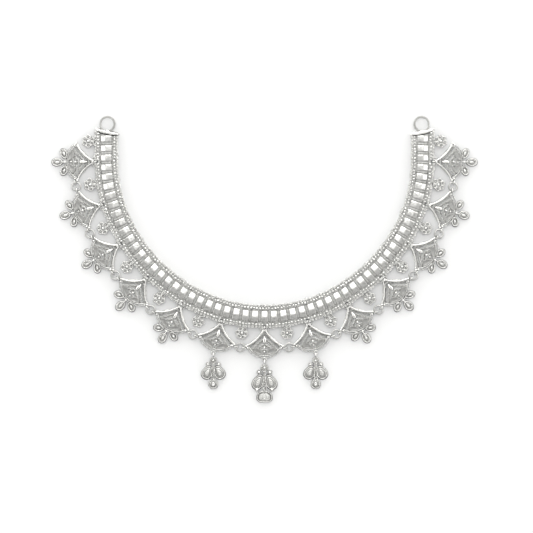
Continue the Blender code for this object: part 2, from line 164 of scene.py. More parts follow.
unitShapes = {
    "strandRadius": 0.55,  # the two strands of a twisted wire, and how far off centre
    "strandOff": 0.45,
    "ringRadius": 0.68,  # small soldered ring
    "ringGauge": 0.34,
    "rowShift": (1.0, 1.0, 0.3),
    "tipShare": (1.0, 1.0, 0.25),
    "tipPivot": (0, 0, 1.5),
}


def newTree(name, sizes):
    tree = bpy.data.node_groups.new(name, "GeometryNodeTree")
    face = tree.interface
    face.new_socket("Geometry", in_out="OUTPUT", socket_type="NodeSocketGeometry")
    face.new_socket("Geometry", in_out="INPUT", socket_type="NodeSocketGeometry")
    kinds = {int: "NodeSocketInt", float: "NodeSocketFloat", str: "NodeSocketObject"}
    for label, value in sizes.items():
        socket = face.new_socket(label, in_out="INPUT", socket_type=kinds[type(value)])
        if not isinstance(value, str):
            socket.default_value = value
    face.new_socket("Finish", in_out="INPUT", socket_type="NodeSocketMaterial")
    return tree, tree.nodes.new("NodeGroupInput").outputs


def geometryNode(tree, kind, links=None, **settings):
    # the first output of a new node
    return addNode(tree, "GeometryNode" + kind, links, **settings).outputs[0]


def endTree(tree, geometry, finish):
    # every tree ends the same way: real geometry, smooth, with its finish
    real = geometryNode(tree, "RealizeInstances", {"Geometry": geometry})
    smooth = geometryNode(tree, "SetShadeSmooth", {"Geometry": real})
    done = geometryNode(tree, "SetMaterial", {"Geometry": smooth, "Material": finish})
    addNode(tree, "NodeGroupOutput", {"Geometry": done})
    return tree


def curveOf(tree, given):
    return geometryNode(tree, "MeshToCurve", {"Mesh": given["Geometry"]})


def circleOf(tree, resolution, radius):
    return geometryNode(tree, "CurvePrimitiveCircle", {"Resolution": resolution,
                                                       "Radius": radius})


def sphereOf(tree, segments, rings):
    return geometryNode(tree, "MeshUVSphere", {"Segments": segments, "Rings": rings,
                                               "Radius": 1.0})


def gaugeOf(tree):
    # each point's own radius
    return geometryNode(tree, "InputNamedAttribute", {"Name": "gauge"}, data_type="FLOAT")


def sweptAlong(tree, curve, profile):
    return geometryNode(tree, "CurveToMesh", {"Curve": curve, "Profile Curve": profile,
                                              "Scale": gaugeOf(tree), "Fill Caps": True})


def randomAround(tree, seed, kind):
    # a random number or vector between -1 and 1 for each point
    made = addNode(tree, "FunctionNodeRandomValue", {"Seed": seed}, data_type=kind)
    wanted = "VECTOR" if kind == "FLOAT_VECTOR" else "VALUE"
    for socket, value in (("Min", -1.0), ("Max", 1.0)):
        limit = socketOf(made.inputs, socket, wanted)
        limit.default_value = (value,) * 3 if kind == "FLOAT_VECTOR" else value
    return socketOf(made.outputs, "Value", wanted)


def randomVector(tree, given, share, size):
    # a random vector for each point, times its share on each axis and this size
    around = randomAround(tree, given["Seed"], "FLOAT_VECTOR")
    shared = addNode(tree, "ShaderNodeVectorMath", {0: around, 1: share}, operation="MULTIPLY")
    return addNode(tree, "ShaderNodeVectorMath", {0: shared.outputs[0], "Scale": size},
                   operation="SCALE").outputs[0]


def roundWireTree():
    # each chain of edges becomes one wire
    tree, given = newTree("Round wire", {"Sides": 8})
    profile = circleOf(tree, given["Sides"], 1.0)
    return endTree(tree, sweptAlong(tree, curveOf(tree, given), profile), given["Finish"])


def twistedWireTree():
    # two round strands turned about each other
    tree, given = newTree("Twisted wire", {"Sides": 5, "Turn length": 1.0, "Step": 0.12})
    even = geometryNode(tree, "ResampleCurve", {"Curve": curveOf(tree, given),
                                                "Length": given["Step"]}, mode="LENGTH")
    along = addNode(tree, "GeometryNodeSplineParameter").outputs["Length"]
    turns = calculated(tree, "DIVIDE", along, given["Turn length"])
    angle = calculated(tree, "MULTIPLY", turns, 2 * math.pi)
    twisted = geometryNode(tree, "SetCurveTilt", {"Curve": even, "Tilt": angle})
    strand = circleOf(tree, given["Sides"], unitShapes["strandRadius"])
    pair = addNode(tree, "GeometryNodeJoinGeometry")
    for off in (-unitShapes["strandOff"], unitShapes["strandOff"]):
        moved = geometryNode(tree, "Transform", {"Geometry": strand, "Translation": (off, 0, 0)})
        tree.links.new(moved, pair.inputs[0])
    return endTree(tree, sweptAlong(tree, twisted, pair.outputs[0]), given["Finish"])


def grainModel(tree):
    return sphereOf(tree, 8, 6)


def ringModel(tree):
    # small soldered ring lying flat
    line, profile = (circleOf(tree, 8, unitShapes["ringRadius"]),
                     circleOf(tree, 5, unitShapes["ringGauge"]))
    return geometryNode(tree, "CurveToMesh", {"Curve": line, "Profile Curve": profile})


def solderedRowTree(name, model):
    # soldered grains or rings along a line, each a little different in size
    tree, given = newTree(name, {"Pitch": 1.2, "Uneven": 0.1, "Jitter": 0.1, "Seed": 1})
    spaced = geometryNode(tree, "CurveToPoints", {"Curve": curveOf(tree, given),
                                                  "Length": given["Pitch"]}, mode="LENGTH")
    around = randomAround(tree, given["Seed"], "FLOAT")
    change = calculated(tree, "MULTIPLY", around, given["Uneven"])
    size = calculated(tree, "MULTIPLY", gaugeOf(tree), calculated(tree, "ADD", 1.0, change))
    offset = randomVector(tree, given, unitShapes["rowShift"], given["Jitter"])
    moved = geometryNode(tree, "SetPosition", {"Geometry": spaced, "Offset": offset})
    placed = geometryNode(tree, "InstanceOnPoints", {"Points": moved, "Instance": model(tree),
                                                     "Scale": size})
    return endTree(tree, placed, given["Finish"])


def grainTree():
    # single grains on loose points
    tree, given = newTree("Single grains", {"Segments": 10})
    placed = geometryNode(tree, "InstanceOnPoints", {
        "Points": given["Geometry"], "Scale": gaugeOf(tree),
        "Instance": sphereOf(tree, given["Segments"], 7)})
    return endTree(tree, placed, given["Finish"])


def pieceRowTree():
    # one modelled piece, such as a tile, on every point of a line, each tipped a little
    tree, given = newTree("Row of pieces", {"Piece": "", "Count": 57, "Tip": 0.0, "Seed": 1})
    spaced = addNode(tree, "GeometryNodeCurveToPoints",
                     {"Curve": curveOf(tree, given), "Count": given["Count"]}).outputs
    piece = addNode(tree, "GeometryNodeObjectInfo", {"Object": given["Piece"]}).outputs
    facing = addNode(tree, "FunctionNodeAlignRotationToVector", {"Vector": spaced["Tangent"]},
                     axis="X", pivot_axis="Z").outputs[0]
    placed = geometryNode(tree, "InstanceOnPoints", {
        "Points": spaced["Points"], "Instance": piece["Geometry"], "Rotation": facing})
    tipped = geometryNode(tree, "RotateInstances", {
        "Instances": placed, "Pivot Point": unitShapes["tipPivot"], "Local Space": True,
        "Rotation": randomVector(tree, given, unitShapes["tipShare"], given["Tip"])})
    return endTree(tree, tipped, given["Finish"])


trees = {
    "wire": roundWireTree(),
    "twist": twistedWireTree(),
    "grainRow": solderedRowTree("Grain row", grainModel),
    "ringRow": solderedRowTree("Ring row", ringModel),
    "grain": grainTree(),
    "pieces": pieceRowTree(),
}
print("node trees built:", ", ".join(trees))


def addObject(name, data):
    item = bpy.data.objects.new(name, data)
    bpy.context.scene.collection.objects.link(item)
    return item


def run(treeName, source, finish, **values):
    # puts the tree on the source, sets its inputs by identifier and keeps only the mesh
    tree = trees[treeName]
    values["Finish"] = silver[finish]
    modifier = source.modifiers.new(tree.name, "NODES")
    modifier.node_group = tree
    for item in tree.interface.items_tree:
        if item.item_type == "SOCKET" and item.in_out == "INPUT" and item.name in values:
            modifier[item.identifier] = values[item.name]
    bpy.context.view_layer.update()
    shown = source.evaluated_get(bpy.context.evaluated_depsgraph_get())
    mesh = bpy.data.meshes.new_from_object(shown)
    source.modifiers.clear()
    bpy.data.objects.remove(source)
    return mesh


# Lines and loops that the trees thicken

def evenly(first, last, steps):
    # steps + 1 values from first to last
    return [first + (last - first) * i / steps for i in range(steps + 1)]


def anglesRound(count, first=0.0):
    # first: share of a step at which they start
    return [2 * math.pi * (i + first) / count for i in range(count)]


def lineObject(paths):
    points, edges, gauges = [], [], []
    for path in paths:
        first, count, gauge = len(points), len(path["points"]), path["gauge"]
        points += path["points"]
        gauges += gauge if isinstance(gauge, list) else [gauge] * count
        edges += [(first + i, first + i + 1) for i in range(count - 1)]
        if path["closed"]:
            edges.append((first + count - 1, first))
    mesh = bpy.data.meshes.new("lines")
    mesh.from_pydata([tuple(p) for p in points], edges, [])
    mesh.attributes.new("gauge", "FLOAT", "POINT").data.foreach_set("value", gauges)
    return addObject("lines", mesh)


def wire(points, gauge, closed=False):
    # gauge: one radius, or a list with one for each point
    return {"points": [Vector(p) for p in points], "gauge": gauge, "closed": closed}


def oval(centre, halfWidth, halfLength, height, gauge, steps=20):
    return wire([(centre[0] + halfWidth * math.cos(t), centre[1] + halfLength * math.sin(t),
                  height) for t in anglesRound(steps)], gauge, closed=True)


def circle(centre, radius, height, gauge, steps):
    return oval(centre, radius, radius, height, gauge, steps)


def petal(root, tip, halfWidth, height, gauge, steps=22, dome=0.0, taper=0.7):
    # closed teardrop loop, narrow at the root and round at the tip
    root, tip = Vector(root), Vector(tip)
    axis = tip - root
    side = Vector((-axis.y, axis.x)).normalized() * halfWidth / (1 - taper * 0.3)
    points = []
    for turn in anglesRound(steps):
        share = (1 - math.cos(turn)) / 2
        place = root + axis * share + side * math.sin(turn) * (1 - taper * (1 - share))
        points.append((place.x, place.y, height + dome * share))
    return wire(points, gauge, closed=True)


def within(root, tip, fromRoot, fromTip):
    # a petal's root and tip, each moved inwards by a share of its length
    return root + (tip - root) * fromRoot, tip - (tip - root) * fromTip


def grains(places, finish="polished", segments=10):
    # places: (x, y, height, radius)
    return run("grain", lineObject([wire([p[:3]], p[3]) for p in places]), finish,
               Segments=segments)


def wires(paths, finish, sides=8):
    return run("wire", lineObject(paths), finish, Sides=sides)


def twists(paths, finish, turnLength=1.3, step=0.16, sides=5):
    return run("twist", lineObject(paths), finish, Step=step, Sides=sides,
               **{"Turn length": turnLength})


# Solid shapes

def meshOf(shape, finish=None, smooth=False):
    bmesh.ops.recalc_face_normals(shape, faces=shape.faces)
    for face in shape.faces:
        face.smooth = smooth
    mesh = bpy.data.meshes.new("shape")
    shape.to_mesh(mesh)
    shape.free()
    if finish:
        mesh.materials.append(silver[finish])
    return mesh


def bridge(shape, one, two):
    for i in range(len(one)):
        j = (i + 1) % len(one)
        shape.faces.new((one[i], one[j], two[j], two[i]))


def loft(rings, finish, smooth=True):
    # closed solid through rings of equally many points, capped at both ends
    shape = bmesh.new()
    rows = [[shape.verts.new(point) for point in ring] for ring in rings]
    shape.faces.new(rows[0])
    shape.faces.new(rows[-1])
    for one, two in zip(rows, rows[1:]):
        bridge(shape, one, two)
    return meshOf(shape, finish, smooth)


def shell(outline, heights, finish):
    # closed plate over an outline: heights are (share of the outline, height) from the foot up
    outline = [Vector(point[:2]) for point in outline]
    middle = sum(outline, Vector((0, 0))) / len(outline)
    return loft([[(*(middle + (point - middle) * share), height) for point in outline]
                 for share, height in heights], finish)


def joined(name, meshes):
    # several meshes in one, each keeping its finish
    whole = bmesh.new()
    materials = []
    for part in meshes:
        before = len(whole.faces)
        whole.from_mesh(part)
        whole.faces.ensure_lookup_table()
        for face in whole.faces[before:]:
            material = part.materials[face.material_index]
            if material not in materials:
                materials.append(material)
            face.material_index = materials.index(material)
        bpy.data.meshes.remove(part)
    mesh = bpy.data.meshes.new(name)
    whole.to_mesh(mesh)
    whole.free()
    for material in materials:
        mesh.materials.append(material)
    return mesh


def finishPiece(name, mesh, replaces=(), place=None):
    # into metres and into its place, then onto the body
    mesh.transform(Matrix.Scale(mm, 4) @ (place or Matrix.Identity(4)))
    for attribute in [a for a in mesh.attributes if a.name == "gauge"]:
        mesh.attributes.remove(attribute)
    mesh.name = name
    piece = addObject(name, mesh)
    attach(piece, "root")
    if replaces:
        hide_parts(*replaces)


# The hoop's own geometry

def hoopFrame(angle):
    # the inner edge's point at this angle from straight down, and the outward direction
    turn = math.radians(max(-90.0, min(90.0, angle)))
    radius = hoop["edgeRadius"] + hoop["spring"] * (math.cos(4 * turn) - math.cos(2 * turn))
    outwards = Vector((math.sin(turn), -math.cos(turn), 0))
    point = outwards * radius
    point.y += hoop["centreY"] + math.radians(max(0.0, abs(angle) - 90.0)) * hoop["tileLine"]
    return point, outwards


def hoopPlace(angle, out):
    # matrix for a piece modelled with +Y outwards
    point, outwards = hoopFrame(angle)
    turned = Matrix((outwards.cross(up), outwards, up)).transposed().to_4x4()
    return Matrix.Translation(point + outwards * out) @ turned


def hoopLine(out, height, fromAngle=-90.0, toAngle=90.0):
    # a line along the hoop at this distance outwards, with its straight ends
    steps = max(2, round((toAngle - fromAngle) / hoop["lineStep"]))
    points = []
    for angle in evenly(fromAngle, toAngle, steps):
        point, outwards = hoopFrame(angle)
        points.append(point + outwards * out + up * height)
    rise = Vector((0, hoop["straightEnd"] + hoop["endSlant"] * out, 0))
    if fromAngle <= -90.0:
        points.insert(0, points[0] + rise)
    if toAngle >= 90.0:
        points.append(points[-1] + rise)
    return points


fanAngles = {number: number * hoop["fanStep"]
             for number in range(-hoop["fansPerSide"], hoop["fansPerSide"] + 1)}

# Collar: base with its channel

collar = {
    "steps": 240,
    "notchOut": 9.0,
    "notchWidth": 1.6,
    "channel": (2.6, 7.9),  # its floor, from and to
    "floor": 1.1,
    "borderCore": 1.3,
}


def collarBase():
    # the swept body; at each fan's pin its outer side steps back into a notch
    core, floor, width = collar["borderCore"], collar["floor"], hoop["width"]
    inner, outer = collar["channel"]
    section = [(0.3, 0), (width - 0.3, 0), (width - 0.25, core - 0.35), (width - 0.5, core),
               (outer + 0.3, core), (outer, floor), (inner, floor), (inner - 0.3, core),
               (0.5, core), (0.25, core - 0.35)]
    half = math.degrees(collar["notchWidth"] / 2 / (hoop["edgeRadius"] + hoop["pinOut"]))
    edge = 0.01  # degrees over which the notch's end walls stand
    stations = [(angle, False) for angle in evenly(-90.0, 90.0, collar["steps"])]
    for angle in fanAngles.values():
        stations = [s for s in stations if abs(s[0] - angle) > half + 2 * edge]
        stations += [(angle - half - edge, False), (angle - half, True), (angle, True),
                     (angle + half, True), (angle + half + edge, False)]

    def ring(point, outwards, limit):
        return [point + outwards * min(out, limit) + up * height for out, height in section]

    rings = [ring(*hoopFrame(angle), collar["notchOut"] if cut else width)
             for angle, cut in sorted(stations)]
    rise, slant = Vector((0, hoop["straightEnd"], 0)), Vector((0, hoop["endSlant"], 0))
    first, last = ([ring(point + rise, outwards + slant, width)]
                   for point, outwards in (hoopFrame(-90.0), hoopFrame(90.0)))
    return loft(first + rings + last, "oxidised", smooth=False)


finishPiece("collar_base", collarBase(), ["collar_band"])
print("collar base made")

# Collar: ridged tiles in the channel, with thin bars between them

tiles = {
    "perSide": 28,
    "pitch": 4.31,
    "length": 2.9,
    "width": 4.9,
    "foot": 1.0,
    "top": 2.05,
    "slope": 9.0,  # degrees, on both sides of the ridge
    "ridge": -0.1,  # share of the half width, towards the outer border
    "ridgeHalf": 0.08,  # the ridge's own half width, also a share
    "endDrop": 0.012,
    "rounding": 0.14,
    "barWidth": 1.1,
    "barTop": 1.55,
    "middleOut": 5.25,
    "tip": 0.8,  # degrees that a tile may lean
    "seed": 5,
}


def ridgedTile():
    # two flat slopes that meet in a soft ridge along the band
    shape = bmesh.new()
    ridge, soft = tiles["ridge"], tiles["ridgeHalf"]
    across = (-1.0, -0.9, -0.5, ridge - 2 * soft, ridge - soft, ridge + soft, ridge + 2 * soft,
              0.5, 0.9, 1.0)
    halfLength, halfWidth = tiles["length"] / 2, tiles["width"] / 2
    fall = math.tan(math.radians(tiles["slope"])) * halfWidth
    grid = []
    for u in evenly(-1.0, 1.0, 6):
        heights = [tiles["top"] - fall * max(0.0, abs(v - ridge) - soft)
                   - tiles["endDrop"] * u * u for v in across]
        grid.append([shape.verts.new((u * halfLength, v * halfWidth, height))
                     for v, height in zip(across, heights)])
    for one, two in zip(grid, grid[1:]):
        for j in range(len(across) - 1):
            shape.faces.new((one[j], two[j], two[j + 1], one[j + 1]))
    rim = ([line[0] for line in grid] + grid[-1][1:]
           + [line[-1] for line in reversed(grid[:-1])] + list(reversed(grid[0][1:-1])))
    foot = [shape.verts.new((v.co.x, v.co.y, tiles["foot"])) for v in rim]
    bridge(shape, rim, foot)
    shape.faces.new(foot)
    bmesh.ops.recalc_face_normals(shape, faces=shape.faces)
    edges = [e for e in shape.edges if e.verts[0] in rim and e.verts[1] in rim
             and e.calc_face_angle(0) > math.radians(40)]
    bmesh.ops.bevel(shape, geom=edges, offset=tiles["rounding"], segments=2, affect="EDGES",
                    profile=0.5)
    mesh = meshOf(shape)
    mesh.set_sharp_from_angle(angle=math.radians(50))
    return mesh


def barBetween():
    half, reach, top = tiles["barWidth"] / 2, tiles["width"] / 2 + 0.1, tiles["barTop"]
    outline = [(-half, -reach), (half, -reach), (half, reach), (-half, reach)]
    return shell(outline, [(1.0, tiles["foot"]), (1.0, top - 0.1), (0.8, top)], "oxidised")


def rowAlongTiles(piece, count, finish, tip=0.0):
    # sets copies of the piece one pitch apart along the line through the tiles' middles
    reach = math.degrees(tiles["pitch"] / hoop["tileLine"]) * (count - 1) / 2
    frames = [hoopFrame(angle) for angle in evenly(-reach, reach, count - 1)]
    line = wire([point + outwards * tiles["middleOut"] for point, outwards in frames], 1.0)
    model = addObject("model", piece)
    mesh = run("pieces", lineObject([line]), finish, Piece=model, Count=count,
               Tip=math.radians(tip), Seed=tiles["seed"])
    bpy.data.objects.remove(model)
    return mesh


tileCount = 2 * tiles["perSide"] + 1
finishPiece("collar_tiles", rowAlongTiles(ridgedTile(), tileCount, "hammered", tiles["tip"]))
finishPiece("collar_bars", rowAlongTiles(barBetween(), tileCount - 1, "oxidised"))
print("tiles set:", tileCount)

# Collar: granulated borders, rails and pins

borders = {
    # kind, out, height, radius, whether it stops at the notches
    "rows": (("ringRow", 0.5, 1.45, 0.62, False), ("grainRow", 1.65, 1.48, 0.52, False),
             ("grainRow", 8.9, 1.48, 0.52, True), ("ringRow", 10.1, 1.45, 0.62, True)),
    "pitch": 1.36,
    "uneven": 0.22,
    "jitter": 0.18,
    "railOut": (2.5, 8.0),
    "railHeight": 1.5,
    "railGauge": 0.24,
    "railTurn": 1.1,
    "notchClear": 0.95,
    "pinGauge": 0.25,
}


def borderLines(out, height, gauge, notched):
    # one line along the hoop, or one between each two notches
    if not notched:
        return [wire(hoopLine(out, height), gauge)]
    clear = math.degrees(borders["notchClear"] / (hoop["edgeRadius"] + out))
    stops = [-90.0] + [a + side * clear for a in fanAngles.values() for side in (-1, 1)] + [90.0]
    return [wire(hoopLine(out, height, start, end), gauge)
            for start, end in zip(stops[::2], stops[1::2])]


def collarBorders():
    meshes = []
    for seed, (kind, *line) in enumerate(borders["rows"], 1):
        meshes.append(run(kind, lineObject(borderLines(*line)), "worn", Pitch=borders["pitch"],
                          Uneven=borders["uneven"], Jitter=borders["jitter"], Seed=seed))
    rails = [wire(hoopLine(out, borders["railHeight"]), borders["railGauge"])
             for out in borders["railOut"]]
    return joined("borders", meshes + [twists(rails, "worn", borders["railTurn"])])


def collarPins():
    half = collar["notchWidth"] / 2 + borders["pinGauge"]
    paths = []
    for angle in fanAngles.values():
        place = hoopPlace(angle, hoop["pinOut"])
        paths.append(wire([place @ Vector((x, 0, hoop["pinHeight"])) for x in (-half, half)],
                          borders["pinGauge"]))
    return wires(paths, "worn", sides=10)


finishPiece("collar_borders", collarBorders())
finishPiece("collar_pins", collarPins())
print("borders and pins made")

# Rosettes on the collar's outer border

rosette = {
    "out": 13.4,
    "petals": 6,
    "petalCentre": 1.95,
    "petalRadius": 0.82,
    "petalHeight": 0.85,
    "petalGauge": 0.25,
    "petalGrain": (0.75, 0.4),  # height and radius
    "beadCentre": 2.3,
    "bead": (0.9, 0.3),
    "eye": (0, 0, 1.1, 0.5),
    "solder": (0, -2.62, 0.7, 0.45),
    "plateRadius": 2.25,
    "plate": ((0.95, 0.15), (1.0, 0.4), (0.9, 0.65), (0.1, 0.7)),
    "turn": 9,  # degrees that one may be turned
    "seed": 40,
}


def around(radius, turn):
    return radius * math.cos(turn), radius * math.sin(turn)


def rosetteMesh():
    paths, small, beads = [], [], []
    for angle in anglesRound(rosette["petals"], first=0.5):
        turn = angle + math.pi / 2
        middle = around(rosette["petalCentre"], turn)
        paths.append(circle(middle, rosette["petalRadius"], rosette["petalHeight"],
                            rosette["petalGauge"], 14))
        small.append((*middle, *rosette["petalGrain"]))
        beads.append((*around(rosette["beadCentre"], turn + math.pi / rosette["petals"]),
                      *rosette["bead"]))
    plate = shell([around(rosette["plateRadius"], turn) for turn in anglesRound(20)],
                  rosette["plate"], "worn")
    return joined("rosette", [wires(paths, "crest", sides=7),
                              grains(small + [rosette["solder"]], "worn", segments=8),
                              grains(beads + [rosette["eye"]]), plate])


def collarRosettes():
    model = rosetteMesh()
    meshes = []
    for i in range(-hoop["fansPerSide"] - 1, hoop["fansPerSide"] + 1):
        copy = model.copy()
        turned = random.Random(i + rosette["seed"]).uniform(-rosette["turn"], rosette["turn"])
        copy.transform(hoopPlace((i + 0.5) * hoop["fanStep"], rosette["out"])
                       @ Matrix.Rotation(math.radians(turned), 4, "Z"))
        meshes.append(copy)
    bpy.data.meshes.remove(model)
    return joined("rosettes", meshes)


finishPiece("collar_rosettes", collarRosettes())
print("rosettes made")

# Fans, modelled from the pin outwards

fan = {
    "apex": 0.85,
    "apexHalf": 0.3,
    "cornerAcross": 8.15,
    "cornerUp": 8.75,
    "cornerCut": 0.55,
    "reach": 13.6,
    "bow": 1.0,
    "sideGauges": (0.5, 0.4),  # at the apex and at the corner
    "sideHeights": (0.85, 1.05),
    "lowerSide": 0.8,  # share of its gauge that a side fan's lower side keeps
    "arcGauge": 0.3,
    "arcHeight": 0.85,
    "arcTurn": 2.2,
    "innerArcInset": 0.85,
    "innerArcShort": 0.9,
    "innerArcHeight": 0.75,
    "innerArcGauge": 0.2,
    "besideInset": 0.75,  # thin wire beside each side wire
    "besideHeight": 0.66,
    "besideGauge": 0.17,
    "ribs": 14,
    "ribInset": 1.3,  # of the first one, from the side
    "ribPitch": 0.86,
    "ribGauge": 0.19,
    "ribHeights": (0.77, 0.52),  # at the axis and at the arc
    "ribSag": 0.35,
    "ribWave": 0.27,  # how far a wavy rib swings, and how often
    "ribWaveLength": 1.5,
    # flat strips between the open slots: from and to, measured from the side wire
    "strips": ((0.5, 1.75), (3.05, 3.7), (4.85, 5.5), (6.65, 7.3)),
    "strip": ((1.0, 0.1), (1.0, 0.45)),
    # leaf on the axis, the rib that carries it, and that rib's grains
    "leafAxis": ((0, 3.5), (0, 7.2)),
    "leafHalf": 0.79325,
    "leaf": ((0.92, 0.5), (1.0, 1.0), (0.8, 1.35), (0.35, 1.6), (0.08, 1.66)),
    "axisRib": ((0, 1.4, 0.7), (0, 7.0, 0.75), (0, 12.3, 0.7)),
    "axisGrains": ((0, 9.0, 1.0, 0.5), (0.1, 10.9, 0.9, 0.4)),
    # dark dished plates beside the axis, just inside the arc
    "hollowAcross": (0.55, 5.25),
    "hollowDepth": 2.45,
    "hollow": ((1.0, 0.3), (1.0, 0.95), (0.9, 1.0), (0.7, 0.9), (0.1, 0.85)),
    "apexGrain": (0, 1.35, 1.0, 0.45),
    "cornerGrains": ((8.35, 8.45, 1.0, 0.55), (7.55, 9.25, 1.0, 0.5), (7.6, 7.85, 1.0, 0.42)),
    "knotLoop": ((1.35, 0.75), 0.55, 0.85, 0.2),
    "eyeRadius": 0.75,
    "eyeGauge": 0.25,
    "cornerEyeAcross": 9.3,
    "cornerEyeUp": 9.2,
    "cornerEyeRadius": 0.82,
    "cornerEyeStretch": 1.3,
    "arcEyeRadius": 0.8,
}


def fanSide(share, inset=0.0):
    # point on the right side, from the apex at 0 to the corner at 1
    start = Vector((fan["apexHalf"], fan["apex"]))
    end = Vector((fan["cornerAcross"], fan["cornerUp"] - fan["cornerCut"]))
    chord = end - start
    inwards = Vector((-chord.y, chord.x)).normalized()
    return start + chord * share + inwards * (fan["bow"] * 4 * share * (1 - share) + inset)


arcRise = fan["reach"] - fan["cornerUp"]
fanArcRadius = (fan["cornerAcross"] ** 2 + arcRise ** 2) / (2 * arcRise)
fanArcCentre = fan["reach"] - fanArcRadius


def fanArc(across, inset=0.0):
    radius = fanArcRadius - inset
    return Vector((across, fanArcCentre + math.sqrt(max(0.0, radius ** 2 - across ** 2))))


def at(point, height):
    return Vector((point[0], point[1], height))


def mirrored(paths):
    # each path and its mirror image about the axis
    return [one for path in paths for one in
            (path, dict(path, points=[Vector((-p.x, p.y, p.z)) for p in path["points"]]))]


def fanSides(number):
    steps = 14
    side = [at(fanSide(share), height) for share, height in
            zip(evenly(0.0, 1.0, steps), evenly(*fan["sideHeights"], steps))]
    left, right = mirrored([wire(side, evenly(*fan["sideGauges"], steps))])
    upper, lower = (right, left) if number > 0 else (left, right)
    if abs(number) < 3:
        return [wires([upper, lower], "polished", sides=10)]
    # painted shade: a side fan's lower side, turned away from the light, is thinner and gets the
    # darker crest finish
    lower["gauge"] = [g * fan["lowerSide"] for g in lower["gauge"]]
    return [wires([upper], "polished", sides=10), wires([lower], "crest", sides=10)]


def fanArcs():
    # a twisted wire along the edge and a thin one inside it, also beside the sides
    half, narrow = fan["cornerAcross"], fan["cornerAcross"] - fan["innerArcShort"]
    edge = [at(fanArc(x), fan["arcHeight"]) for x in evenly(-half, half, 28)]
    inner = [at(fanArc(x, fan["innerArcInset"]), fan["innerArcHeight"])
             for x in evenly(-narrow, narrow, 24)]
    beside = [at(fanSide(share, fan["besideInset"]), fan["besideHeight"])
              for share in evenly(0.14, 0.94, 12)]
    return [twists([wire(edge, fan["arcGauge"])], "worn", fan["arcTurn"], step=0.3, sides=7),
            wires([wire(inner, fan["innerArcGauge"])], "polished"),
            wires(mirrored([wire(beside, fan["besideGauge"])]), "worn", sides=6)]


def ribLine(offset, wave=0.0):
    # parallel to the side at this distance from it, from the axis to the inner arc
    start, end = fanSide(0.0), fanSide(1.0)
    along = (end - start).normalized()
    inwards = Vector((-along.y, along.x))
    reach = fanArcRadius - fan["innerArcInset"]
    base = start + inwards * offset
    foot = base + along * ((0.3 - base.x) / along.x)
    toFoot = foot - Vector((0, fanArcCentre))
    if toFoot.length > reach - 0.5:
        return []
    dot = toFoot.dot(along)
    length = -dot + math.sqrt(dot ** 2 - toFoot.length_squared + reach ** 2)
    swing = 2 * math.pi * length / fan["ribWaveLength"]
    return [foot + along * length * share + inwards * (wave * math.sin(swing * share)
                                                       - fan["ribSag"] * math.sin(math.pi * share))
            for share in evenly(0.0, 1.0, max(3, round(length / (0.22 if wave else 1.2))))]


def fanRibs():
    # wavy and twisted wires by turns
    kinds = ([], [])
    for number in range(fan["ribs"]):
        twisted = number % 2
        line = ribLine(fan["ribInset"] + number * fan["ribPitch"],
                       0.0 if twisted else fan["ribWave"])
        if line:
            heights = evenly(*fan["ribHeights"], len(line) - 1)
            kinds[twisted].append(wire([at(p, height) for p, height in zip(line, heights)],
                                       fan["ribGauge"]))
    return [wires(mirrored(kinds[0]), "filigree", sides=6), twists(mirrored(kinds[1]), "polished")]


def shellsBeside(outline, heights, finish):
    # one plate on each side of the axis
    return [shell([(side * p.x, p.y) for p in outline], heights, finish) for side in (-1, 1)]


def fanBacking():
    return [plate for start, end in fan["strips"] for plate in
            shellsBeside(ribLine(start) + ribLine(end)[::-1], fan["strip"], "aged")]


def fanHeart():
    # the bright leaf on the axis, and the rib that carries it with its grains
    leaf = petal(*fan["leafAxis"], fan["leafHalf"], 0, 0, steps=18, taper=0.55)["points"]
    return [shell(leaf[::-1], fan["leaf"], "polished"),
            wires([wire(fan["axisRib"], 0.2)], "worn"), grains(fan["axisGrains"])]


def fanHollows():
    outer = [fanArc(x, fan["innerArcInset"] + 0.3) for x in evenly(*fan["hollowAcross"], 10)]
    back = [Vector((p.x, p.y - 0.15 - fan["hollowDepth"] * abs(math.sin(turn)) ** 0.7))
            for p, turn in zip(outer, evenly(0.0, math.pi, 10))]
    return shellsBeside(outer + back[::-1], fan["hollow"], "oxidised")


def fanGrains():
    corners = [(side * x, *rest) for side in (-1, 1) for x, *rest in fan["cornerGrains"]]
    return [grains([fan["apexGrain"]] + corners)]


def uprightEye(centre, direction, radius, stretch=1.0):
    direction = Vector(direction).normalized() * radius * stretch
    return wire([Vector(centre) + direction * math.cos(turn) + up * radius * math.sin(turn)
                 for turn in anglesRound(16)], fan["eyeGauge"], closed=True)


def fanEyes(corners, arcEye):
    # round the pin, at the corners for the link rings, and on the arc for a drop
    paths = [uprightEye((0, 0, hoop["pinHeight"]), (0, 1, 0), fan["eyeRadius"])]
    turn = math.radians(hoop["fanStep"] / 2)
    for side in corners:
        paths.append(uprightEye((side * fan["cornerEyeAcross"], fan["cornerEyeUp"],
                                 hoop["pinHeight"]), (side * math.cos(turn), -math.sin(turn), 0),
                                fan["cornerEyeRadius"], fan["cornerEyeStretch"]))
    if arcEye:
        paths.append(circle((0, fan["reach"] + fan["arcEyeRadius"]), fan["arcEyeRadius"],
                            hoop["pinHeight"], fan["eyeGauge"], 18))
    return paths


# Filled petals, for trefoils and drops

trefoil = {
    # root, tip, half width and taper of each petal
    "middle": ((0, 14.6), (0, 19.7), 2.0, 0.15),
    "side": ((1.5, 13.2), (6.05, 15.05), 1.8, 0.25),
    "lip": 0.4,  # the back plates show this far outside the rims
    "rimGauge": 0.24,
    "loopGauge": 0.17,
    "stalk": ((0, 12.9, 0.7), (0, 15.3, 0.7)),
    "stalkGauge": 0.28,
    "knot": (0, 13.75, 0.95, 0.5),
}


